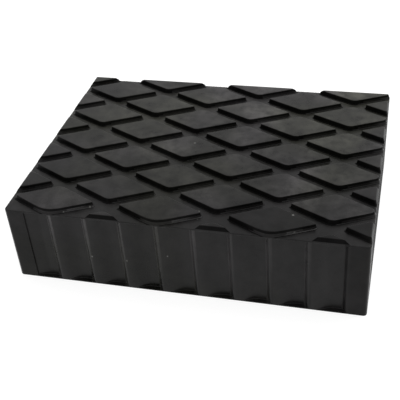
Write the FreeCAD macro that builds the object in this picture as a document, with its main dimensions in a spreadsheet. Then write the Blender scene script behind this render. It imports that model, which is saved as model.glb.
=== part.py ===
"""Moulded rubber pad for a lift arm: a fluted block with a raised lozenge tread.

Millimetres. The origin is the middle of the flat underside, +X runs along the
long side, -Y is the front and +Z is up.
"""

import FreeCAD, Part
import math
import os

import Sketcher

NODE = "lift_pad"

# Driving sizes, then the values that follow from them
DRIVING = {
    # Block
    "pad_length": "160",
    "pad_width": "120",
    "body_height": "38.3",
    "corner_radius": "1.5",
    # Tread of raised lozenges, measured on their top faces
    "tread_relief": "2.2",
    "tread_draft": "15",
    "lozenge_pitch_along": "48.9",
    "lozenge_pitch_across": "24.5",
    "channel_width": "5.2",
    "tip_radius": "0.5",
    "nose_radius": "4",
    "first_lozenge_from_left": "20.6",
    "first_lozenge_from_front": "9",
    # The row of cut noses along the front edge: how far its middles lie in front
    # of the pad, and how far it is set to the right of the others
    "front_nose_overhang": "5.9",
    "front_nose_shift": "0.9",
    # Upright flutes in the four sides, each with a gentle wall on the left and a
    # steep one on the right
    "flute_width": "12",
    "flute_depth": "2.2",
    "gentle_wall_run": "5",
    "steep_wall_run": "1",
    "flute_top_land": "0.8",
    "flute_foot_land": "0.6",
    "flute_pitch_aim": "16",
    "corner_land": "8.8",
}

DERIVED = {
    # How far a drafted wall of the tread leans in between its foot and its top
    "draft_run": "=tread_relief * tan(tread_draft)",
    # The rhombus that a lozenge would fill if there were no channels
    "cell_angle": "=atan(lozenge_pitch_across / lozenge_pitch_along)",
    "cell_apothem": "=lozenge_pitch_along / 2 * sin(cell_angle)",
    # A lozenge at its foot: the cell drawn in by the channel, less the draft
    "foot_share": "=1 - (channel_width / 2 - draft_run) / cell_apothem",
    "foot_half_length": "=foot_share * lozenge_pitch_along / 2",
    "foot_half_width": "=foot_share * lozenge_pitch_across / 2",
    "foot_tip_radius": "=tip_radius + draft_run",
    "foot_nose_radius": "=nose_radius + draft_run",
    "tip_centre": "=foot_half_length - foot_tip_radius / sin(cell_angle)",
    "nose_centre": "=foot_half_width - foot_nose_radius / cos(cell_angle)",
    # Enough lozenges to run past every edge of the pad
    "lozenge_columns": "=ceil(pad_length / lozenge_pitch_along) + 1",
    "lozenge_columns_run": "=(lozenge_columns - 1) * lozenge_pitch_along",
    "lozenge_rows": "=ceil(pad_width / lozenge_pitch_across) + 1",
    "lozenge_rows_run": "=(lozenge_rows - 1) * lozenge_pitch_across",
    # Flutes spread evenly between two plain corner lands
    "long_side_run": "=pad_length - 2 * corner_land - flute_width",
    "long_side_flutes": "=round(long_side_run / flute_pitch_aim) + 1",
    "short_side_run": "=pad_width - 2 * corner_land - flute_width",
    "short_side_flutes": "=round(short_side_run / flute_pitch_aim) + 1",
    "flute_height": "=body_height - flute_top_land - flute_foot_land",
}

doc = FreeCAD.newDocument("lift_arm_pad")


# Spreadsheet
def make_sheet():
    sheet = doc.addObject("Spreadsheet::Sheet", "sizes")
    for row, (name, value) in enumerate({**DRIVING, **DERIVED}.items(), start=1):
        sheet.set(f"A{row}", name)
        sheet.set(f"B{row}", value)
        sheet.setAlias(f"B{row}", name)
    doc.recompute()
    return sheet


def value_of(expression):
    """The number that an expression over the sheet gives now."""
    found = sizes.evalExpression(expression)
    return float(getattr(found, "Value", found))


sizes = make_sheet()


# Sketch helpers
def origin_feature(body, role):
    return next(item for item in body.Origin.OriginFeatures if item.Role == role)


def new_sketch(body, name, height=None, along=None, across=None):
    """A sketch parallel to the body's XY plane, set off from it by expressions."""
    sketch = body.newObject("Sketcher::SketchObject", name)
    sketch.AttachmentSupport = (origin_feature(body, "XY_Plane"), "")
    sketch.MapMode = "FlatFace"
    for axis, expression in (("x", along), ("y", across), ("z", height)):
        if expression:
            sketch.setExpression(f".AttachmentOffset.Base.{axis}", expression)
    return sketch


def drive(sketch, constraint, expression):
    index = sketch.addConstraint(constraint)
    sketch.setExpression(f"Constraints[{index}]", expression)


def place_point(sketch, geometry, position, x_expression, y_expression):
    """Ties one point of the sketch to the origin, or to an axis where a coordinate is nought."""
    origin = (-1, 1)
    axis_of = {"DistanceX": -2, "DistanceY": -1}
    for kind, expression in (("DistanceX", x_expression), ("DistanceY", y_expression)):
        if expression == "0":
            sketch.addConstraint(Sketcher.Constraint("PointOnObject", geometry, position, axis_of[kind]))
        else:
            start = Sketcher.Constraint(kind, *origin, geometry, position, value_of(expression))
            drive(sketch, start, expression)


def rounded_outline(sketch, corners):
    """A closed outline of corner arcs joined by tangent lines.

    Each corner is (x, y, radius, start degrees, end degrees), listed anticlockwise, with the
    centre and the radius as expressions.
    """
    start, end, centre = 1, 2, 3
    arcs = []
    for x, y, radius, first, last in corners:
        middle = FreeCAD.Vector(value_of(x), value_of(y), 0)
        circle = Part.Circle(middle, FreeCAD.Vector(0, 0, 1), value_of(radius))
        arc = Part.ArcOfCircle(circle, math.radians(first), math.radians(last))
        arcs.append((sketch.addGeometry(arc), arc, x, y, radius))
    joined = list(zip(arcs, arcs[1:] + arcs[:1]))
    for (here, arc, *_), (there, next_arc, *_) in joined:
        line = sketch.addGeometry(Part.LineSegment(arc.EndPoint, next_arc.StartPoint))
        sketch.addConstraint(Sketcher.Constraint("Tangent", here, end, line, start))
        sketch.addConstraint(Sketcher.Constraint("Tangent", line, end, there, start))
    for index, _, x, y, radius in arcs:
        drive(sketch, Sketcher.Constraint("Radius", index, value_of(radius)), radius)
        place_point(sketch, index, centre, x, y)


def polygon(sketch, corners):
    """A closed outline of straight lines through corners given as expressions."""
    start, end = 1, 2
    points = [FreeCAD.Vector(value_of(x), value_of(y), 0) for x, y in corners]
    lines = [
        sketch.addGeometry(Part.LineSegment(here, there))
        for here, there in zip(points, points[1:] + points[:1])
    ]
    for here, there in zip(lines, lines[1:] + lines[:1]):
        sketch.addConstraint(Sketcher.Constraint("Coincident", here, end, there, start))
    for line, (x, y) in zip(lines, corners):
        place_point(sketch, line, start, x, y)


def pad_sketch(body, sketch, name, length, taper=None):
    pad = body.newObject("PartDesign::Pad", name)
    pad.Profile = sketch
    pad.setExpression("Length", length)
    if taper:
        pad.setExpression("TaperAngle", taper)
    doc.recompute()
    return pad


def pattern(body, name, original, runs):
    """Repeats a feature along X, Y or both: runs is a list of (axis role, whole run, count)."""
    repeat = body.newObject("PartDesign::LinearPattern", name)
    repeat.Originals = [original]
    for suffix, (role, run, count) in zip(("", "2"), runs):
        setattr(repeat, f"Direction{suffix}", (origin_feature(body, role), [""]))
        repeat.setExpression(f"Length{suffix}", run)
        repeat.setExpression(f"Occurrences{suffix}", count)
    body.Tip = repeat
    doc.recompute()
    return repeat


# Outer form: the block with small upright corner radii, and drafted walls round the tread
def make_envelope():
    body = doc.addObject("PartDesign::Body", "envelope")
    across = "sizes.pad_width / 2 - sizes.corner_radius"
    along = "sizes.pad_length / 2 - sizes.corner_radius"
    radius = "sizes.corner_radius"
    corners = [
        (along, across, radius, 0, 90),
        (f"-({along})", across, radius, 90, 180),
        (f"-({along})", f"-({across})", radius, 180, 270),
        (along, f"-({across})", radius, 270, 360),
    ]
    foot = new_sketch(body, "envelope_foot")
    rounded_outline(foot, corners)
    pad_sketch(body, foot, "envelope_block", "sizes.body_height")
    shoulder = new_sketch(body, "envelope_shoulder", height="sizes.body_height")
    rounded_outline(shoulder, corners)
    pad_sketch(body, shoulder, "envelope_cap", "sizes.tread_relief", "-sizes.tread_draft")
    return body


# Upright flutes in two facing sides at once: recesses closed by a thin land at
# the head and at the foot
def cut_flutes(body, name, side, across_side, run, count):
    half = "sizes.flute_width / 2"
    first = f"-{run} / 2"
    face = f"{across_side} / 2"
    floor = f"{face} - sizes.flute_depth"
    gentle_then_steep = ("sizes.gentle_wall_run", "sizes.steep_wall_run")
    sketch = new_sketch(body, f"{name}_profile", height="sizes.flute_foot_land")
    for sign in ("-", ""):
        # Seen from outside, the gentle wall is the left one on every side
        lower_is_left = (sign == "-") == (side == "X_Axis")
        lower_run, upper_run = gentle_then_steep if lower_is_left else gentle_then_steep[::-1]
        corners = [
            (f"{first} - {half}", f"{sign}({face})"),
            (f"{first} + {half}", f"{sign}({face})"),
            (f"{first} + {half} - {upper_run}", f"{sign}({floor})"),
            (f"{first} - {half} + {lower_run}", f"{sign}({floor})"),
        ]
        if side == "Y_Axis":
            corners = [(y, x) for x, y in corners]
        polygon(sketch, corners)
    before = body.Shape.Volume
    pocket = body.newObject("PartDesign::Pocket", name)
    pocket.Profile = sketch
    pocket.Reversed = True
    pocket.setExpression("Length", "sizes.flute_height")
    doc.recompute()
    assert pocket.Shape.Volume < before, f"{name} cuts nothing"
    pattern(body, f"{name}_row", pocket, [(side, run, count)])


# Raised lozenges: one drafted pad, repeated along and across the top
def raise_lozenges(body, name, along, across, runs):
    sketch = new_sketch(body, f"{name}_foot", "sizes.body_height", along, across)
    spread = value_of("sizes.cell_angle")
    tip = "sizes.foot_tip_radius"
    nose = "sizes.foot_nose_radius"
    corners = [
        ("sizes.tip_centre", "0", tip, spread - 90, 90 - spread),
        ("0", "sizes.nose_centre", nose, 90 - spread, 90 + spread),
        ("-sizes.tip_centre", "0", tip, 90 + spread, 270 - spread),
        ("0", "-sizes.nose_centre", nose, 270 - spread, 270 + spread),
    ]
    rounded_outline(sketch, corners)
    lozenge = pad_sketch(body, sketch, name, "sizes.tread_relief", "-sizes.tread_draft")
    pattern(body, f"{name}_field", lozenge, runs)


# Fluted block with a tread that runs on past its edges
def make_moulding():
    body = doc.addObject("PartDesign::Body", "moulding")
    along = "sizes.pad_length / 2"
    across = "sizes.pad_width / 2"
    foot = new_sketch(body, "moulding_foot")
    corners = [
        (f"-{along}", f"-{across}"),
        (along, f"-{across}"),
        (along, across),
        (f"-{along}", across),
    ]
    polygon(foot, corners)
    pad_sketch(body, foot, "moulding_block", "sizes.body_height")
    long_side = ("X_Axis", "sizes.pad_width", "sizes.long_side_run", "sizes.long_side_flutes")
    short_side = ("Y_Axis", "sizes.pad_length", "sizes.short_side_run", "sizes.short_side_flutes")
    cut_flutes(body, "long_side_flute", *long_side)
    cut_flutes(body, "short_side_flute", *short_side)
    column = f"sizes.first_lozenge_from_left - {along}"
    row = f"sizes.first_lozenge_from_front - {across}"
    half_along = "sizes.lozenge_pitch_along / 2"
    half_across = "sizes.lozenge_pitch_across / 2"
    columns = ("X_Axis", "sizes.lozenge_columns_run", "sizes.lozenge_columns")
    rows = ("Y_Axis", "sizes.lozenge_rows_run", "sizes.lozenge_rows")
    raise_lozenges(body, "even_lozenge", column, row, [columns, rows])
    left = f"{column} - {half_along}"
    raise_lozenges(body, "odd_lozenge", left, f"{row} + {half_across}", [columns, rows])
    # The front edge cuts off one more row at its noses, with none in the left corner
    right = f"{column} + {half_along} + sizes.front_nose_shift"
    raise_lozenges(body, "front_nose", right, f"-sizes.front_nose_overhang - {across}", [columns])
    return body


# The pad: the moulding trimmed to its outer form
def make_pad(moulding, envelope):
    pad = doc.addObject("Part::Common", NODE)
    pad.Base = moulding
    pad.Tool = envelope
    pad.Refine = True
    pad.Label = NODE
    doc.recompute()
    return pad


def check(pad):
    for item in doc.Objects:
        bad = [word for word in item.State if word in ("Invalid", "Error")]
        assert not bad, f"{item.Name} is {item.State}"
    shape = pad.Shape
    assert not shape.isNull() and shape.isValid(), "the pad's shape is not valid"
    assert len(shape.Solids) == 1, f"the pad has {len(shape.Solids)} solids"


pad = make_pad(make_moulding(), make_envelope())
check(pad)
os.makedirs("parts", exist_ok=True)
pad.Shape.Solids[0].exportStep(f"parts/{NODE}.step")
box = pad.Shape.BoundBox
print(f"{NODE}: {box.XLength:.2f} x {box.YLength:.2f} x {box.ZLength:.2f} mm, {len(pad.Shape.Faces)} faces")
print(f"volume {pad.Shape.Volume:.0f} mm3")
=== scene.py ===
"""Looks of the moulded rubber lift pad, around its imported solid. The frame is in metres, +Z up."""

import math

import bpy
import numpy as np
from mathutils import Matrix, Vector
from mathutils.geometry import delaunay_2d_cdt


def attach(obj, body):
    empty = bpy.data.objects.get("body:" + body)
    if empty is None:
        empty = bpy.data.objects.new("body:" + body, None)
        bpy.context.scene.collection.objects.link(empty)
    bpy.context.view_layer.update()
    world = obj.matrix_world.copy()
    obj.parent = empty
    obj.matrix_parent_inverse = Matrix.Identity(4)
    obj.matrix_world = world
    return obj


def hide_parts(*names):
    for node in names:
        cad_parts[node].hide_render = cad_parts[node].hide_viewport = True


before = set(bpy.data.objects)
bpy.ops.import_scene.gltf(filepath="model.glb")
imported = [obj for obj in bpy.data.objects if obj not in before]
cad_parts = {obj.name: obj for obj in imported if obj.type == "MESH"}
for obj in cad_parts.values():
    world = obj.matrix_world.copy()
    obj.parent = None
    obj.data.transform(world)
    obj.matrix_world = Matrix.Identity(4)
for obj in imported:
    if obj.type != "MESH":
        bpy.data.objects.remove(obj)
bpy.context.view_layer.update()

# Sizes in millimetres, the same as the solid's
MM = 0.001
HALF_LENGTH = 80.0
HALF_WIDTH = 60.0
CORNER = 1.5
SHOULDER = 38.3
RELIEF = 2.2
DRAFT = math.radians(15.0)
PITCH_ALONG = 48.9
PITCH_ACROSS = 24.5
CHANNEL = 5.2
TIP = 0.5
NOSE = 4.0
FIRST_LEFT = 20.6
FIRST_FRONT = 9.0
NOSE_OVERHANG = 5.9
NOSE_SHIFT = 0.9
FLUTE_WIDTH = 12.0
FLUTE_DEPTH = 2.2
GENTLE_RUN = 5.0
FLUTE_TOP = 37.5
FLUTE_FOOT = 0.6
FLUTE_PITCH_AIM = 16.0
CORNER_LAND = 8.8

# Roundings in millimetres, which the solid leaves out
FOOT_FILLET = 0.35
TOP_ROUNDING = 0.35
RIM_ROUNDING = 0.2
BOTTOM_ROUNDING = 0.2

# Cut lozenges: width of the blend with the outline, and how fast the distance from each edge counts
PLAN_BLEND = 1.2
NOSE_BLEND = 0.4
LONG_CUT = 0.55
LEFT_CUT = 0.36
RIGHT_CUT = 0.85

# Flutes' section: run of the steep wall with its roundings, flat runs before and after the
# flute, and the radius at each of its corners
STEEP_RUN = 1.6
LEAD_IN = 2.3
LEAD_OUT = 1.4
FLUTE_RADII = (10.0, 10.0, 0.8, 2.5)

# First flute of each side: a short step, then a soft run down to its floor
STEP_RUN = 0.4
STEP_DEPTH = 0.9
SOFT_RUN = 6.0
STEP_RADII = (0.3, 0.3, 6.0, 0.8, 2.5)

# Bands of a flute's steep wall, which gets painted sheen, and of the rib after it, which gets a
# painted highlight, from the flute's right end
FLANK_BEFORE = 1.9
RIB_BEFORE = 0.55
RIB_AFTER = 1.0
LAND_BEFORE = 1.8
FIRST_LAND_MARGIN = 0.2

# Front row of lozenges: where it starts, and the band of its noses whose foot gets painted light,
# with a painted highlight after it
FRONT_ROW = -40.0
PAINTED_LIGHT_FROM = -8.0
PAINTED_LIGHT_TO = 6.5
PAINTED_LIGHT_FROM_ELSEWHERE = 2.0

# Search for the lozenges' rings, out from a lozenge's middle by halving
RING_REACH = 40.0
RING_HALVINGS = 30
END_HALVINGS = 20
TRIAL_ANGLES = 1440

# Points round a lozenge: one for so much length, and one for so much turn
POINT_SPACING = 2.6
POINT_TURN = math.radians(11.0)
LARGEST_TURN = 0.5
FEWEST_POINTS = 24

# Points of the mesh elsewhere: how far apart they lie, and how far they keep from others
ARC_STEPS = 4
COLUMN_SPACING = 1.8
CORNER_COLUMNS = 5
COLUMN_CLEARANCE = 0.5
CLOSEST_COLUMNS = 0.03
GRID_SPACING = 2.0
GRID_MARGIN = 2.0
GRID_CLEARANCE = 0.5
RIM_SPACING = 0.9
RIM_INSETS = (0.09, 0.3)
RIM_CLEARANCE = 0.1
LINE_CLEARANCE = 0.02
UNDER_SPACING = 10.0
SAME_PLACE = 1e-6
PLAN_TOLERANCE = 1e-7

# A lozenge's plan at its foot
draft_run = RELIEF * math.tan(DRAFT)
cell_angle = math.atan(PITCH_ACROSS / PITCH_ALONG)
SIN, COS = math.sin(cell_angle), math.cos(cell_angle)
foot_apothem = PITCH_ALONG / 2 * SIN - CHANNEL / 2 + draft_run
foot_tip, foot_nose = TIP + draft_run, NOSE + draft_run
tip_centre = (foot_apothem - foot_tip) / SIN
nose_centre = (foot_apothem - foot_nose) / COS

# Section through a lozenge's wall: foot fillet, drafted wall and rounded edge
WALL_SLOPE = math.pi / 2 - DRAFT
foot_reach = FOOT_FILLET * math.tan(WALL_SLOPE / 2)
top_reach = TOP_ROUNDING * math.tan(WALL_SLOPE / 2)
top_start = draft_run + top_reach
foot_end = foot_reach * math.cos(WALL_SLOPE)
top_end = draft_run - top_reach * math.cos(WALL_SLOPE)

# Rings round a lozenge, by their distance inside its foot: outside its wall, and up it
# The outermost ring lies out on the channel's floor: the strip inside it gets the walls' darkest
# rubber as painted shadow
PAINTED_SHADOW_MARGIN = 0.35
OUTER_LEVELS = [-foot_reach - PAINTED_SHADOW_MARGIN]
OUTER_LEVELS += [FOOT_FILLET * math.sin(math.radians(v)) - foot_reach for v in (0, 25, 50)]
RING_LEVELS = [foot_end, draft_run / 2, top_end]
RING_LEVELS += [top_start - TOP_ROUNDING * math.sin(math.radians(v)) for v in (50, 25, 0)]
WALL_STRIPS = 3
INNER_SHARES = (0.82, 0.55, 0.25)
TOP_HEIGHT = SHOULDER + RELIEF

# Rows down a side: share of the flute's depth, and height
CEILING = [
    (0.0, 0.16),
    (0.05, 0.09),
    (0.2, 0.03),
    (0.5, 0.0),
    (0.8, -0.03),
    (0.95, -0.1),
    (1.0, -0.2),
]
SIDE_ROWS = [(0.0, FLUTE_TOP + 0.22)]
SIDE_ROWS += [(share, FLUTE_TOP + up) for share, up in CEILING]
SIDE_ROWS += [(1.0, z) for z in (31.0, 25.0, 19.0, 13.0, 7.0, 3.0)]
SIDE_ROWS += [(share, FLUTE_FOOT - up) for share, up in reversed(CEILING)]

# Rows of the rounding at the foot: how far in, and height, as shares of the rounding
BOTTOM_ROWS = [(0.0, 1.0), (0.3, 0.3), (1.0, 0.0)]

# Outline of the block, measured anticlockwise from the front left corner's end: four sides,
# each with the corner after it
straight_long = 2 * (HALF_LENGTH - CORNER)
straight_short = 2 * (HALF_WIDTH - CORNER)
quarter = math.pi / 2 * CORNER
SPANS = [straight_long, quarter, straight_short, quarter] * 2
STARTS = [sum(SPANS[:i]) for i in range(9)]
AROUND = STARTS[8]
SIDES = [(STARTS[span] - CORNER, length) for span, length in (
    (0, 2 * HALF_LENGTH),
    (2, 2 * HALF_WIDTH),
    (4, 2 * HALF_LENGTH),
    (6, 2 * HALF_WIDTH),
)]

# Corners of the outline: sign of x, sign of y, span and the degrees where its arc starts
CORNERS = [(1, -1, 1, -90), (1, 1, 3, 0), (-1, 1, 5, 90), (-1, -1, 7, 180)]


# Distances over the top, positive inwards
def inset(x, y):
    """How far a point lies inside the block's outline."""
    qx = np.abs(x) - (HALF_LENGTH - CORNER)
    qy = np.abs(y) - (HALF_WIDTH - CORNER)
    outside = np.hypot(np.maximum(qx, 0), np.maximum(qy, 0))
    return CORNER - outside - np.minimum(np.maximum(qx, qy), 0)


def inside_lozenge(x, y):
    """How far a point lies inside the foot of a lozenge centred on the origin."""
    ax, ay = np.abs(x), np.abs(y)
    side = foot_apothem - (ax * SIN + ay * COS)
    tip_x = ax - tip_centre
    nose_y = ay - nose_centre
    tip = foot_tip - np.hypot(tip_x, ay)
    nose = foot_nose - np.hypot(ax, nose_y)
    found = np.where(tip_x * COS - ay * SIN > 0, tip, side)
    return np.where(ax * COS - nose_y * SIN < 0, nose, found)


def smooth_min(a, b, width):
    gap = np.maximum(width - np.abs(a - b), 0)
    return np.minimum(a, b) - gap * gap / (4 * width)


def within(x, y, centre):
    """The lozenge's distance, blended with the block's outline where it is cut."""
    own = inside_lozenge(x - centre[0], y - centre[1])
    if centre[1] < -HALF_WIDTH:
        return smooth_min(own, inset(x, y), NOSE_BLEND)
    cut = np.minimum(RIGHT_CUT * inset(x, y), LEFT_CUT * (HALF_LENGTH + x))
    cut = np.minimum(cut, LONG_CUT * (HALF_WIDTH - np.abs(y)))
    return smooth_min(own, cut, PLAN_BLEND)


def within_any(x, y, lozenges):
    """The largest distance inside any lozenge, negative in the channels."""
    deepest = np.full_like(x, -10.0)
    for centre, _ in lozenges:
        deepest = np.maximum(deepest, within(x, y, centre))
    return deepest


def arc_height(radius, along):
    """Height of a quarter circle over its centre's level, at a distance from its axis."""
    return np.sqrt(np.maximum(radius**2 - along**2, 0))


def rise(d):
    """Height over the shoulder at a distance inside a lozenge's foot."""
    foot = FOOT_FILLET - arc_height(FOOT_FILLET, np.maximum(d + foot_reach, 0))
    top = RELIEF - TOP_ROUNDING + arc_height(TOP_ROUNDING, np.minimum(d - top_start, 0))
    wall = d * math.tan(WALL_SLOPE)
    return np.where(d < foot_end, foot, np.where(d < top_end, wall, top))


def shoulder_height(x, y, lozenges):
    """Height of the moulding outside the lozenges' walls."""
    up = rise(within_any(x, y, lozenges))
    share = np.clip(1 - up / rise(np.array(0.0)), 0, 1)
    edge = np.minimum(np.maximum(RIM_ROUNDING - inset(x, y), 0), RIM_ROUNDING)
    drop = RIM_ROUNDING - arc_height(RIM_ROUNDING, edge)
    return SHOULDER + up - share * drop


# Lozenges
def lozenge_centres():
    """Every lozenge that keeps a top face inside the block, with a point well inside that face."""
    reach_along, reach_across, step, smallest = 20, 11, 0.25, 2.0
    found = []
    for column in range(-1, 9):
        for row in range(-1, 12):
            if (column + row) % 2 or column == row == -1:
                continue
            x = FIRST_LEFT + column * PITCH_ALONG / 2 - HALF_LENGTH
            y = FIRST_FRONT + row * PITCH_ACROSS / 2 - HALF_WIDTH
            if row == -1:
                x, y = x + NOSE_SHIFT, -NOSE_OVERHANG - HALF_WIDTH
            xs, ys = np.meshgrid(
                np.arange(x - reach_along, x + reach_along, step),
                np.arange(y - reach_across, y + reach_across, step),
            )
            top = within(xs, ys, (x, y)) > top_start
            if top.sum() * step**2 > smallest:
                found.append(((x, y), (float(xs[top].mean()), float(ys[top].mean()))))
    return found


def ring(centre, middle, level, angles):
    """Points round the middle where the blended distance has the level, found by halving."""
    ux, uy = np.cos(angles), np.sin(angles)
    near, far = np.zeros_like(angles), np.full_like(angles, RING_REACH)
    for _ in range(RING_HALVINGS):
        half = (near + far) / 2
        inner = within(middle[0] + half * ux, middle[1] + half * uy, centre) > level
        near, far = np.where(inner, half, near), np.where(inner, far, half)
    return np.stack([middle[0] + near * ux, middle[1] + near * uy], axis=1)


def spread_angles(centre, middle):
    """Directions from the middle, closer where the lozenge's edge turns."""
    angles = np.linspace(-math.pi, math.pi, TRIAL_ANGLES + 1)[:-1]
    edge = ring(centre, middle, draft_run, angles)
    step = np.roll(edge, -1, axis=0) - edge
    heading = np.arctan2(step[:, 1], step[:, 0])
    turn = np.abs((np.roll(heading, -1) - heading + math.pi) % (2 * math.pi) - math.pi)
    weight = np.hypot(step[:, 0], step[:, 1]) / POINT_SPACING
    weight += np.minimum(turn, LARGEST_TURN) / POINT_TURN
    total = np.concatenate([[0.0], np.cumsum(weight)])
    count = max(FEWEST_POINTS, math.ceil(total[-1]))
    wanted = (np.arange(count) + 0.5) * total[-1] / count
    return np.interp(wanted, total, np.append(angles, math.pi))


# Outline of the block
def outline_point(s):
    """(x, y, outward x, outward y) at a distance along the outline."""
    s = s % AROUND
    span = next(i for i in range(8) if s < STARTS[i + 1])
    along = s - STARTS[span]
    a, b = HALF_LENGTH, HALF_WIDTH
    if span == 0:
        return (-a + CORNER + along, -b, 0.0, -1.0)
    if span == 2:
        return (a, -b + CORNER + along, 1.0, 0.0)
    if span == 4:
        return (a - CORNER - along, b, 0.0, 1.0)
    if span == 6:
        return (-a, b - CORNER - along, -1.0, 0.0)
    sx, sy, _, first = CORNERS[span // 2]
    turn = math.radians(first) + along / CORNER
    nx, ny = math.cos(turn), math.sin(turn)
    return (sx * (a - CORNER) + CORNER * nx, sy * (b - CORNER) + CORNER * ny, nx, ny)


def outline_distance(x, y):
    """Distance along the outline of a point on it."""
    a, b = HALF_LENGTH, HALF_WIDTH
    if abs(x) <= a - CORNER:
        return STARTS[0] + x + a - CORNER if y < 0 else STARTS[4] + a - CORNER - x
    if abs(y) <= b - CORNER:
        return STARTS[2] + y + b - CORNER if x > 0 else STARTS[6] + b - CORNER - y
    sx, sy = math.copysign(1, x), math.copysign(1, y)
    span, first = next(corner[2:] for corner in CORNERS if corner[:2] == (sx, sy))
    heading = math.degrees(math.atan2(y - sy * (b - CORNER), x - sx * (a - CORNER)))
    turn = (heading - first + 180) % 360 - 180
    return STARTS[span] + math.radians(turn) * CORNER


# Flutes: (distance along the outline, depth) all round
def rounded_path(points, radii):
    """A polyline with its inner corners rounded."""
    path = [np.array(points[0], float)]
    for before, here, after, radius in zip(points, points[1:], points[2:], radii):
        here = np.array(here, float)
        back = np.array(before, float) - here
        on = np.array(after, float) - here
        back, on = back / np.linalg.norm(back), on / np.linalg.norm(on)
        half = math.acos(max(-1.0, min(1.0, float(back @ on)))) / 2
        reach = radius / math.tan(half)
        centre = here + (back + on) / np.linalg.norm(back + on) * radius / math.sin(half)
        first, last = here + back * reach - centre, here + on * reach - centre
        for share in np.linspace(0, 1, ARC_STEPS + 1):
            mix = first * (1 - share) + last * share
            path.append(centre + mix / np.linalg.norm(mix) * radius)
    path.append(np.array(points[-1], float))
    return path


def flute_path(left, first):
    """Section of one flute: its depth against the distance along the side."""
    right = left + FLUTE_WIDTH
    if first:
        wall = [(left + STEP_RUN, STEP_DEPTH), (left + SOFT_RUN, FLUTE_DEPTH)]
    else:
        wall = [(left + GENTLE_RUN, FLUTE_DEPTH)]
    start = [(left - LEAD_IN, 0.0), (left, 0.0)]
    end = [(right - STEEP_RUN, FLUTE_DEPTH), (right, 0.0), (right + LEAD_OUT, 0.0)]
    return rounded_path(start + wall + end, STEP_RADII if first else FLUTE_RADII)


def flute_lefts(length):
    """Where the flutes of a side start, from the side's left end."""
    run = length - 2 * CORNER_LAND - FLUTE_WIDTH
    count = round(run / FLUTE_PITCH_AIM) + 1
    return [CORNER_LAND + i * run / (count - 1) for i in range(count)]


def flutes():
    """Every flute's section, along the outline."""
    found = []
    for start, length in SIDES:
        for i, left in enumerate(flute_lefts(length)):
            found.extend((start + u, depth) for u, depth in flute_path(left, i == 0))
    return found


# Zones: which of the rubbers a face gets
def side_zone(s):
    """Zone of one column of a side: lands at the corners with a dimmer sheen as painted shade, steep
    walls with painted sheen, ribs with a painted highlight, or the rest.
    """
    for start, length in SIDES:
        u = s - start
        if not 0 < u < length:
            continue
        rights = [left + FLUTE_WIDTH for left in flute_lefts(length)]
        if u < CORNER_LAND - FIRST_LAND_MARGIN or u > rights[-1] - LAND_BEFORE:
            return "land"
        if any(right - FLANK_BEFORE < u < right - RIB_BEFORE for right in rights):
            return "painted_sheen_flank"
        if any(right - RIB_BEFORE < u < right + RIB_AFTER for right in rights):
            return "painted_rib_highlight"
        return "side"
    return "land"


def top_zone(centre):
    """Zone of a lozenge's top: the front row gets a darker copy of the top's rubber as painted
    shade, and the ones cut off at the ends get the channel's darker rubber.
    """
    if centre[1] < FRONT_ROW:
        return "shaded_front_row"
    return "channel" if abs(centre[0]) > HALF_LENGTH else "top"


def foot_zone(centre, x):
    """Zone at the foot of a lozenge's front: painted shade on the left, painted light on the right,
    and on the front row a painted highlight at the right end.
    """
    cx, cy = centre
    if cy < -HALF_WIDTH:
        return "wall"
    if cy < FRONT_ROW:
        return "wall" if x < cx + PAINTED_LIGHT_FROM else "painted_lit_foot" if x < cx + PAINTED_LIGHT_TO else "painted_highlight"
    return "wall" if x < cx + PAINTED_LIGHT_FROM_ELSEWHERE else "painted_lit_foot"


def floor_zone(x, y, lozenges):
    """Zone of the channel's floor: round the front of a lozenge it takes the walls' darkest rubber
    as painted shadow, and next to the foot the foot's zone.
    """
    near_along, near_across = 26, 14
    for (cx, cy), _ in lozenges:
        if abs(x - cx) > near_along or abs(y - cy) > near_across or y > cy:
            continue
        d = within(x, y, (cx, cy))
        if d > OUTER_LEVELS[0]:
            return foot_zone((cx, cy), x) if d > OUTER_LEVELS[1] else "wall"
    return "channel"


# Moulding
class Shell:
    """Vertices in millimetres, faces, and the zone of each face."""

    def __init__(self):
        self.verts, self.faces, self.zones = [], [], []

    def add_points(self, points):
        """Adds points and gives their numbers."""
        first = len(self.verts)
        self.verts.extend(points)
        return list(range(first, len(self.verts)))

    def add_face(self, corners, zone):
        self.faces.append(tuple(corners))
        self.zones.append(zone)


class Plan:
    """Points and lines seen from above, which the shoulder's triangles are made from."""

    def __init__(self):
        self.points, self.edges = [], []

    def add_line(self, points, closed):
        """Adds a line and gives the number of its first point."""
        first = len(self.points)
        self.points.extend((float(x), float(y)) for x, y in points)
        last = len(self.points) - 1
        self.edges.extend((i, i + 1) for i in range(first, last))
        if closed:
            self.edges.append((last, first))
        return first

    def triangles(self):
        """Points, triangles, and for each point the given ones that it comes from."""
        points = [Vector(point) for point in self.points]
        found = delaunay_2d_cdt(points, self.edges, [], 0, PLAN_TOLERANCE)
        return found[0], found[2], found[3]


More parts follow.
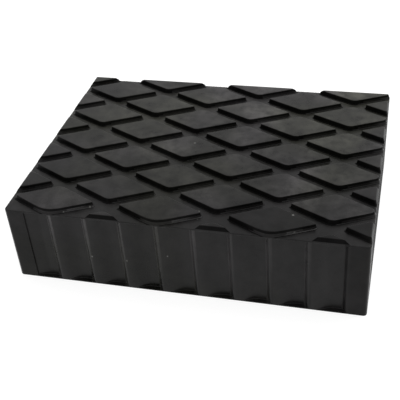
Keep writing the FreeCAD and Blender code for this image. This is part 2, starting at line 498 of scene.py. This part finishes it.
def add_lozenge(shell, plan, lozenge, angles):
    """Rings from a lozenge's foot to the middle of its top, and the foot's numbers in both."""
    centre, middle = lozenge
    rings = [ring(centre, middle, level, angles) for level in RING_LEVELS]
    foot = plan.add_line(rings[0], True)
    rows = []
    for level, points in zip(RING_LEVELS, rings):
        z = SHOULDER + float(rise(np.array(level)))
        rows.append(shell.add_points((x, y, z) for x, y in points))
    for share in INNER_SHARES:
        inner = np.array(middle) + (rings[-1] - np.array(middle)) * share
        rows.append(shell.add_points((x, y, TOP_HEIGHT) for x, y in inner))
    top = top_zone(centre)
    count = len(angles)
    for k, (low, high) in enumerate(zip(rows, rows[1:])):
        for i, (x, y) in enumerate(rings[0]):
            j = (i + 1) % count
            # Walls get the darkest rubber as painted shade; the front of the foot gets foot_zone's
            # painted shade and light
            zone = "wall" if k < WALL_STRIPS else top
            if k == 0 and y < centre[1]:
                zone = foot_zone(centre, x)
            shell.add_face((low[i], low[j], high[j], high[i]), zone)
    last = rows[-1]
    hub = shell.add_points([(*middle, TOP_HEIGHT)])[0]
    for i in range(count):
        shell.add_face((last[i], last[(i + 1) % count], hub), top)
    return foot, rows[0]


def crossing(lozenge, level, inside, outside):
    """Where a ring crosses the block's outline, between two directions, found by halving."""
    if abs(inside - outside) > math.pi:
        outside += math.copysign(2 * math.pi, inside - outside)
    for _ in range(END_HALVINGS):
        half = (inside + outside) / 2
        point = ring(*lozenge, level, np.array([half]))[0]
        if inset(*point) > 0:
            inside = half
        else:
            outside = half
    return outline_distance(*ring(*lozenge, level, np.array([inside]))[0])


def add_outer_lines(plan, lozenge, angles):
    """Rings outside a lozenge's wall. Gives the ones that the outline cuts, with their ends."""
    cut = []
    count = len(angles)
    for level in OUTER_LEVELS:
        points = ring(*lozenge, level, angles)
        keep = inset(points[:, 0], points[:, 1]) > LINE_CLEARANCE
        if keep.all():
            plan.add_line(points, True)
            continue
        for i in range(count):
            if not keep[i] or keep[i - 1]:
                continue
            k = i
            while keep[k % count]:
                k += 1
            ends = [
                crossing(lozenge, level, angles[i], angles[i - 1]),
                crossing(lozenge, level, angles[(k - 1) % count], angles[k % count]),
            ]
            cut.append((ends, [points[m % count] for m in range(i, k)]))
    return cut


def side_columns(cut):
    """Places of the columns down the sides, and the flutes' depth at each."""
    section = sorted(flutes())
    apart = [b for a, b in zip(section, section[1:]) if b[0] - a[0] > SAME_PLACE]
    section = section[:1] + apart
    needed = [s for s, _ in section] + [s for ends, _ in cut for s in ends]
    columns = []
    for s in sorted(needed):
        if not columns or s - columns[-1] > CLOSEST_COLUMNS:
            columns.append(s)
    for span, length in enumerate(SPANS):
        pieces = CORNER_COLUMNS if span % 2 else int(length / COLUMN_SPACING)
        for i in range(pieces):
            s = STARTS[span] + length * i / pieces
            if min(abs(s - column) for column in columns) > COLUMN_CLEARANCE:
                columns.append(s)
    columns.sort()
    return columns, np.interp(columns, [s for s, _ in section], [d for _, d in section])


def spaced(half, margin, spacing):
    """Evenly spaced places from one side of the block to the other."""
    return np.arange(-half + margin, half - margin + 1, spacing)


def filling(lozenges):
    """Points that keep the shoulder's triangles even, in the channels and along the rim."""
    grid = [
        (float(x), float(y))
        for x in spaced(HALF_LENGTH, GRID_MARGIN, GRID_SPACING)
        for y in spaced(HALF_WIDTH, GRID_MARGIN, GRID_SPACING)
    ]
    rim = []
    for s in np.arange(0, AROUND, RIM_SPACING):
        x, y, nx, ny = outline_point(float(s))
        rim.extend((x - nx * back, y - ny * back) for back in RIM_INSETS)
    found = []
    for points, clearance in ((grid, GRID_CLEARANCE), (rim, RIM_CLEARANCE)):
        distances = within_any(*np.array(points).T, lozenges)
        found += [p for p, d in zip(points, distances) if d < OUTER_LEVELS[0] - clearance]
    return found


def add_shoulder(shell, plan, feet, lozenges, rim):
    """Triangles round the lozenges. Gives the numbers of the points along the rim."""
    points, triangles, sources = plan.triangles()
    owner = {first + i: (first, vertex) for first, row in feet for i, vertex in enumerate(row)}
    px, py = np.array([p.x for p in points]), np.array([p.y for p in points])
    heights = shoulder_height(px, py, lozenges)
    vertex_of, foot_of, edge = [], [], {}
    for k, origin in enumerate(sources):
        mine = [o for o in origin if o in owner]
        if mine:
            foot, vertex = owner[mine[0]]
        else:
            foot = None
            vertex = shell.add_points([(float(px[k]), float(py[k]), float(heights[k]))])[0]
            edge.update((o - rim.start, vertex) for o in origin if o in rim)
        vertex_of.append(vertex)
        foot_of.append(foot)
    for triangle in triangles:
        under = {foot_of[k] for k in triangle}
        if len(under) == 1 and None not in under:
            continue
        x, y = sum(px[k] for k in triangle) / 3, sum(py[k] for k in triangle) / 3
        shell.add_face([vertex_of[k] for k in triangle], floor_zone(x, y, lozenges))
    return [edge[i] for i in range(len(rim))]


def add_sides(shell, edge, columns, outline, depths):
    """The four sides from the rim down to the underside. Gives the numbers of the last row."""
    count = len(columns)
    levels = [(share * depths, z) for share, z in SIDE_ROWS]
    for back, up in BOTTOM_ROWS:
        levels.append((np.full(count, back * BOTTOM_ROUNDING), up * BOTTOM_ROUNDING))
    rows = [edge]
    for backs, z in levels:
        row = [(x - nx * back, y - ny * back, z) for (x, y, nx, ny), back in zip(outline, backs)]
        rows.append(shell.add_points(row))
    middles = [(a + b) / 2 for a, b in zip(columns, columns[1:])] + [columns[-1]]
    zones = [side_zone(s) for s in middles]
    for level, (upper, lower) in enumerate(zip(rows, rows[1:])):
        plain = not 2 <= level <= len(SIDE_ROWS) - 2
        for i, zone in enumerate(zones):
            j = (i + 1) % count
            corners = (upper[i], lower[i], lower[j], upper[j])
            shell.add_face(corners, "side" if plain and zone != "land" else zone)
    return rows[-1]


def add_underside(shell, edge):
    """Flat underside inside the last row of the sides."""
    plan = Plan()
    plan.add_line([shell.verts[i][:2] for i in edge], True)
    margin = UNDER_SPACING / 2
    for x in spaced(HALF_LENGTH, margin, UNDER_SPACING):
        plan.points += [(x, y) for y in spaced(HALF_WIDTH, margin, UNDER_SPACING)]
    points, triangles, sources = plan.triangles()
    vertex_of = []
    for point, origin in zip(points, sources):
        if origin and min(origin) < len(edge):
            vertex_of.append(edge[min(origin)])
        else:
            vertex_of += shell.add_points([(point.x, point.y, 0.0)])
    for triangle in triangles:
        shell.add_face([vertex_of[k] for k in reversed(triangle)], "under")


def build_shell():
    """The whole moulding: lozenges, the shoulder round them, sides and underside."""
    shell, plan = Shell(), Plan()
    lozenges = lozenge_centres()
    feet, cut = [], []
    for lozenge in lozenges:
        angles = spread_angles(*lozenge)
        feet.append(add_lozenge(shell, plan, lozenge, angles))
        cut += add_outer_lines(plan, lozenge, angles)
    columns, depths = side_columns(cut)
    outline = [outline_point(s) for s in columns]
    first = plan.add_line([place[:2] for place in outline], True)
    rim = range(first, first + len(columns))
    for ends, line in cut:
        start = plan.add_line(line, False)
        for s, point in zip(ends, (start, start + len(line) - 1)):
            nearest = int(np.argmin(np.abs(np.array(columns) - s)))
            plan.edges.append((rim[nearest], point))
    plan.points += filling(lozenges)
    edge = add_shoulder(shell, plan, feet, lozenges, rim)
    add_underside(shell, add_sides(shell, edge, columns, outline, depths))
    return shell


# Material helpers
def new_material(name):
    material = bpy.data.materials.new(name)
    material.use_nodes = True
    tree = material.node_tree
    shader = next(node for node in tree.nodes if node.type == "BSDF_PRINCIPLED")
    return material, tree, shader


def add_node(tree, kind, settings=(), inputs=(), links=()):
    """A node with its settings, its constant inputs and its incoming links."""
    node = tree.nodes.new(kind)
    for name, value in dict(settings).items():
        setattr(node, name, value)
    for key, value in dict(inputs).items():
        node.inputs[key].default_value = value
    for key, source in dict(links).items():
        tree.links.new(source, node.inputs[key])
    return node


def noise_node(tree, place, scale, detail, roughness):
    inputs = {"Scale": scale, "Detail": detail, "Roughness": roughness}
    return add_node(tree, "ShaderNodeTexNoise", (), inputs, {"Vector": place}).outputs["Fac"]


def spread(tree, value, low, high, to_low, to_high):
    """A value carried over from one range to another, held at its ends."""
    inputs = {"From Min": low, "From Max": high, "To Min": to_low, "To Max": to_high}
    return add_node(tree, "ShaderNodeMapRange", (), inputs, {"Value": value}).outputs["Result"]


def combine(tree, operation, first, *others):
    """Values or sockets, added or multiplied one after the other."""
    for other in others:
        node = add_node(tree, "ShaderNodeMath", {"operation": operation})
        for socket, value in zip(node.inputs, (first, other)):
            if isinstance(value, float):
                socket.default_value = value
            else:
                tree.links.new(value, socket)
        first = node.outputs[0]
    return first


def bump_node(tree, distance, height, links=()):
    links = {"Height": height, **dict(links)}
    inputs = {"Strength": 1.0, "Distance": distance}
    return add_node(tree, "ShaderNodeBump", (), inputs, links).outputs["Normal"]


# Painted light and shade: the tone made lighter or darker along an axis, as shares, in metres:
# (axis, from, to, share at the first end, share at the last)
# Tops: painted shade towards the front and the left, painted light towards the back and the right
TOP_PAINTED_LIGHT = [("Y", -0.055, 0.0, 0.35, 1.4), ("X", -0.07, 0.05, 0.6, 1.3)]
# Channels: painted shade towards the front, painted light towards the back
CHANNEL_PAINTED_LIGHT = [("Y", -0.058, 0.03, 0.45, 1.3)]
# Rib edges: painted highlight strongest high up and at the left, fading down and to the right
RIB_PAINTED_HIGHLIGHT = [("Z", 0.006, 0.034, 0.25, 1.5), ("X", -0.065, 0.04, 1.4, 0.6)]
# Steep walls of the flutes: painted sheen, lighter high up and at the left
FLANK_PAINTED_LIGHT = [("Z", 0.008, 0.032, 0.7, 1.15), ("X", -0.065, 0.06, 1.1, 0.75)]
# Front row of tops: painted light at the left, painted shade towards the right
FRONT_ROW_PAINTED_SHADE = [("X", -0.06, 0.05, 1.3, 0.32)]

# The rubber of each zone: colour, roughness, IOR, mottling, depth of the grain in metres, painted
# light along axes
RUBBERS = {
    "top": (0.021, 0.34, 1.245, 0.55, 0.00002, TOP_PAINTED_LIGHT),
    # Lozenge walls and the channel's floor before them: darkest copy of the rubber, painted shade
    # and painted shadow
    "wall": (0.0035, 0.32, 1.10, 0.3, 0.00001, ()),
    "channel": (0.019, 0.34, 1.24, 0.35, 0.00001, CHANNEL_PAINTED_LIGHT),
    "side": (0.006, 0.32, 1.265, 0.35, 0.00001, ()),
    "under": (0.006, 0.5, 1.36, 0.4, 0.00002, ()),
    # Rib edges: paler copy of the side's rubber, a painted highlight
    "painted_rib_highlight": (0.014, 0.32, 1.26, 0.3, 0.000002, RIB_PAINTED_HIGHLIGHT),
    # Corner lands: the side's rubber with a dimmer sheen, painted shade
    "land": (0.006, 0.34, 1.205, 0.35, 0.00001, ()),
    # Painted highlight on the front row's feet towards their right ends
    "painted_highlight": (0.011, 0.22, 1.36, 0.3, 0.00001, ()),
    # Steep walls of the flutes: paler copy of the side's rubber, painted sheen
    "painted_sheen_flank": (0.025, 0.32, 1.20, 0.3, 0.000002, FLANK_PAINTED_LIGHT),
    # Painted light on the feet of the lozenges' right-hand fronts
    "painted_lit_foot": (0.010, 0.32, 1.20, 0.3, 0.00001, ()),
    # Front row of tops: darker copy of the top's rubber, painted shade
    "shaded_front_row": (0.0155, 0.34, 1.215, 0.4, 0.00002, FRONT_ROW_PAINTED_SHADE),
}

# Noise of the rubber: scale per metre, detail and roughness
NOISES = {
    "cloud": (38.0, 3.0, 0.5),
    "patch": (170.0, 5.0, 0.65),
    "fine": (1500.0, 3.0, 0.6),
    "wave": (90.0, 1.0, 0.5),
    "hue": (22.0, 1.0, 0.5),
}
WAVE_DEPTH = 0.00025
WARM = (1.03, 1.02, 0.85)
COOL = (1.04, 0.98, 1.0)
# Pale colour of the dust specks and of the painted glints
DUST_AND_GLINT_COLOUR = (0.1, 0.1, 0.095, 1.0)

# Fine specks of dust, one in some of the cells of a pattern: cells per metre, distance from the
# middle of a cell, share of the cells and strength
SPECK_SCALE = 230.0
SPECK_RADIUS = (0.03, 0.07)
SPECK_CHOICE = (0.955, 0.965)
SPECK_STRENGTH = 0.25

# Painted glints: pale spots where small nubs and crumbs catch the light, given the colour and
# roughness of dust; place and radius in millimetres
GLINT_SPOTS = [
    (-32.8, -17.5, 38.4, 0.5),
    (-7.8, 1.0, 40.5, 0.6),
    (6.2, -47.7, 38.4, 0.55),
    (46.6, -46.8, 40.5, 0.65),
    (55.0, -48.6, 38.4, 0.6),
    (-52.4, -57.6, 38.6, 0.35),
    (-42.0, -52.3, 38.6, 0.5),
    (6.9, -53.2, 38.6, 0.4),
    (48.3, -55.3, 38.6, 0.75),
    (-41.7, -59.9, 16.4, 0.5),
    (-6.1, -60.0, 21.4, 0.45),
    (-25.3, -59.8, 16.2, 0.45),
    (2.9, -59.5, 11.7, 0.4),
    (-51.7, 27.5, 40.5, 0.4),
]


def rubber_tone(tree, place, noise, mottle, painted_light):
    """Share of the base tone: clouds, smudges, grain and painted light along axes."""
    cloudy = spread(tree, noise["cloud"], 0.36, 0.64, 1.0 - mottle, 1.0 + mottle)
    smudge = spread(tree, noise["patch"], 0.34, 0.6, 1.0 - mottle, 1.0 + 0.4 * mottle)
    grainy = spread(tree, noise["fine"], 0.3, 0.7, 0.85, 1.15)
    axes = add_node(tree, "ShaderNodeSeparateXYZ", (), (), {"Vector": place}).outputs
    painted_gradients = [spread(tree, axes[axis], *values) for axis, *values in painted_light]
    return combine(tree, "MULTIPLY", cloudy, smudge, grainy, *painted_gradients)


def dust_and_glint_share(tree, place):
    """Fine specks of dust all over, and painted glints at single spots."""
    inputs = {"Scale": SPECK_SCALE, "Randomness": 1.0}
    cells = add_node(
        tree, "ShaderNodeTexVoronoi", {"feature": "F1"}, inputs, {"Vector": place}
    ).outputs
    colour = add_node(tree, "ShaderNodeSeparateColor", (), (), {"Color": cells["Color"]}).outputs
    dot = spread(tree, cells["Distance"], *SPECK_RADIUS, 1.0, 0.0)
    chosen = spread(tree, colour["Red"], *SPECK_CHOICE, 0.0, 1.0)
    share = combine(tree, "MULTIPLY", dot, chosen, SPECK_STRENGTH)
    # Painted glints: pale spots where small nubs and crumbs catch the light
    for x, y, z, radius in GLINT_SPOTS:
        inputs = {1: (x * MM, y * MM, z * MM)}
        apart = add_node(
            tree, "ShaderNodeVectorMath", {"operation": "DISTANCE"}, inputs, {0: place}
        ).outputs["Value"]
        grain = spread(tree, apart, radius * MM * 0.6, radius * MM, 1.0, 0.0)
        share = combine(tree, "MAXIMUM", share, grain)
    return share


def rubber_material(name, colour, roughness, ior, mottle, grain, painted_light):
    """Black rubber: cloudy tone, painted light along axes, dust and painted glints, uneven sheen and
    a fine grain.
    """
    material, tree, shader = new_material(name)
    place = add_node(tree, "ShaderNodeTexCoord").outputs["Object"]
    noise = {key: noise_node(tree, place, *values) for key, values in NOISES.items()}
    tone = rubber_tone(tree, place, noise, mottle, painted_light)
    dust_and_glint = dust_and_glint_share(tree, place)
    hue = spread(tree, noise["hue"], 0.4, 0.6, 0.0, 1.0)
    warm, cool = [(*(colour * share for share in tint), 1.0) for tint in (WARM, COOL)]
    tinted = add_node(
        tree, "ShaderNodeMix", {"data_type": "RGBA"}, {6: warm, 7: cool}, {0: hue}
    ).outputs[2]
    rubber = add_node(
        tree, "ShaderNodeVectorMath", {"operation": "SCALE"}, (), {0: tinted, "Scale": tone}
    ).outputs["Vector"]
    base = add_node(
        tree, "ShaderNodeMix", {"data_type": "RGBA"}, {7: DUST_AND_GLINT_COLOUR}, {0: dust_and_glint, 6: rubber}
    ).outputs[2]
    tree.links.new(base, shader.inputs["Base Color"])
    patchy = spread(tree, noise["patch"], 0.3, 0.7, -0.06, 0.06)
    cloudy = spread(tree, noise["cloud"], 0.35, 0.65, -0.05, 0.05)
    dust_and_glint_rough = spread(tree, dust_and_glint, 0.0, 1.0, 0.0, 0.3)
    rough = combine(tree, "ADD", patchy, cloudy, roughness, dust_and_glint_rough)
    tree.links.new(rough, shader.inputs["Roughness"])
    shader.inputs["IOR"].default_value = ior
    first = bump_node(tree, grain, noise["fine"])
    second = bump_node(tree, WAVE_DEPTH, noise["wave"], {"Normal": first})
    tree.links.new(second, shader.inputs["Normal"])
    return material


def floor_material():
    """Pale floor that glows a little, so that it stays white round the black rubber."""
    material, _, shader = new_material("pale_floor")
    shader.inputs["Base Color"].default_value = (0.36, 0.36, 0.36, 1.0)
    shader.inputs["Emission Color"].default_value = (1.0, 1.0, 1.0, 1.0)
    shader.inputs["Emission Strength"].default_value = 0.76
    shader.inputs["Roughness"].default_value = 0.9
    shader.inputs["Specular IOR Level"].default_value = 0.1
    return material


# Pad with every moulded edge rounded
def make_block():
    shell = build_shell()
    mesh = bpy.data.meshes.new("rubber_block")
    mesh.from_pydata([tuple(v) for v in np.array(shell.verts) * MM], [], shell.faces)
    for zone, values in RUBBERS.items():
        mesh.materials.append(rubber_material("rubber_" + zone, *values))
    slots = list(RUBBERS)
    for polygon, zone in zip(mesh.polygons, shell.zones):
        polygon.use_smooth = True
        polygon.material_index = slots.index(zone)
    mesh.validate()
    mesh.update()
    piece = bpy.data.objects.new("rubber_block", mesh)
    bpy.context.scene.collection.objects.link(piece)
    piece.modifiers.new("normals", "WEIGHTED_NORMAL")
    return piece


# Camera at the photograph's viewing angle
CAMERA_LENS = 72.315
CAMERA_PLACE = (0.08623, -0.30858, 0.24893)
CAMERA_FORWARD = (-0.23232, 0.76558, -0.59993)
CAMERA_UP = (-0.09144, 0.59688, 0.79710)


def make_camera():
    data = bpy.data.cameras.new("camera")
    data.sensor_width = 36.0
    data.lens = CAMERA_LENS
    data.clip_start = 0.01
    data.clip_end = 20.0
    camera = bpy.data.objects.new("camera", data)
    forward = Vector(CAMERA_FORWARD).normalized()
    right = forward.cross(Vector(CAMERA_UP)).normalized()
    turn = Matrix((right, right.cross(forward), -forward)).transposed().to_4x4()
    camera.matrix_world = Matrix.Translation(Vector(CAMERA_PLACE)) @ turn
    bpy.context.scene.collection.objects.link(camera)
    bpy.context.scene.camera = camera


# Floor and light
FLOOR_HALF = 3.0
KEY_PLACE = (0.5, 0.5, 1.1)
KEY_SIZE = 0.8
KEY_POWER = 5.0


def make_floor():
    mesh = bpy.data.meshes.new("floor")
    corners = [(-1, -1), (1, -1), (1, 1), (-1, 1)]
    mesh.from_pydata([(x * FLOOR_HALF, y * FLOOR_HALF, 0) for x, y in corners], [], [(0, 1, 2, 3)])
    mesh.materials.append(floor_material())
    floor = bpy.data.objects.new("floor", mesh)
    bpy.context.scene.collection.objects.link(floor)


def make_light():
    """White studio all round, and a soft key light from behind on the right."""
    world = bpy.data.worlds.new("studio")
    world.use_nodes = True
    background = next(node for node in world.node_tree.nodes if node.type == "BACKGROUND")
    background.inputs["Color"].default_value = (1.0, 1.0, 1.0, 1.0)
    background.inputs["Strength"].default_value = 1.0
    bpy.context.scene.world = world
    data = bpy.data.lights.new("key", "AREA")
    data.shape = "RECTANGLE"
    data.size = data.size_y = KEY_SIZE
    data.energy = KEY_POWER
    light = bpy.data.objects.new("key", data)
    light.location = KEY_PLACE
    light.rotation_mode = "QUATERNION"
    light.rotation_quaternion = (-Vector(KEY_PLACE)).to_track_quat("-Z", "Y")
    bpy.context.scene.collection.objects.link(light)


bpy.context.scene.view_settings.view_transform = "Standard"
make_camera()
make_floor()
make_light()
block = make_block()
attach(block, "root")
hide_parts("lift_pad")
